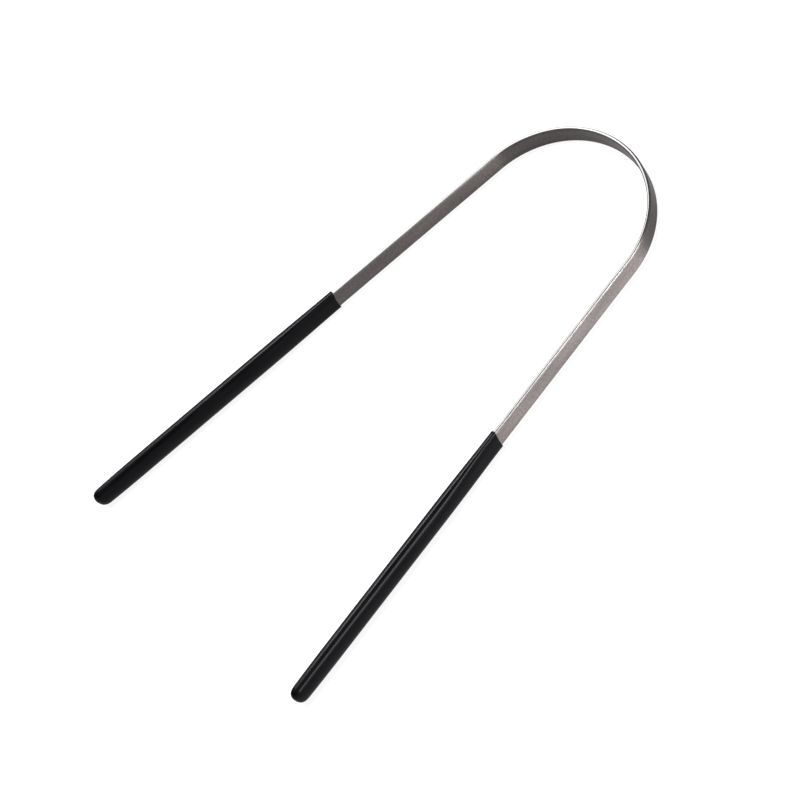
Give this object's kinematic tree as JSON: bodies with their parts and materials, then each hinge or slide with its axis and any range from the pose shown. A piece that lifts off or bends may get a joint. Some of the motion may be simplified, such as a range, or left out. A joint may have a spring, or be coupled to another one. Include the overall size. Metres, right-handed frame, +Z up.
{
  "type": "tongue scraper",
  "caption": "Tongue scraper: a flat steel strip bent into a U with polished edges, and a soft black sleeve grip over the end of each arm.",
  "frame": {"origin": "middle of the footprint, on the surface that the grips lie on", "axes": "+Z up across the strip's width, from one scraping edge to the other; +Y from the closed ends of the grips to the crown of the bend; +X to the right grip"},
  "size_m": [0.0782, 0.14, 0.0062],
  "materials": {
    "steel": "satin brushed faces with polished rounded edges",
    "grip_black": "smooth glossy soft black vinyl"
  },
  "bodies": {
    "root": {"scraper_strip": "steel", "left_grip": "grip_black", "right_grip": "grip_black"}
  },
  "joints": []
}
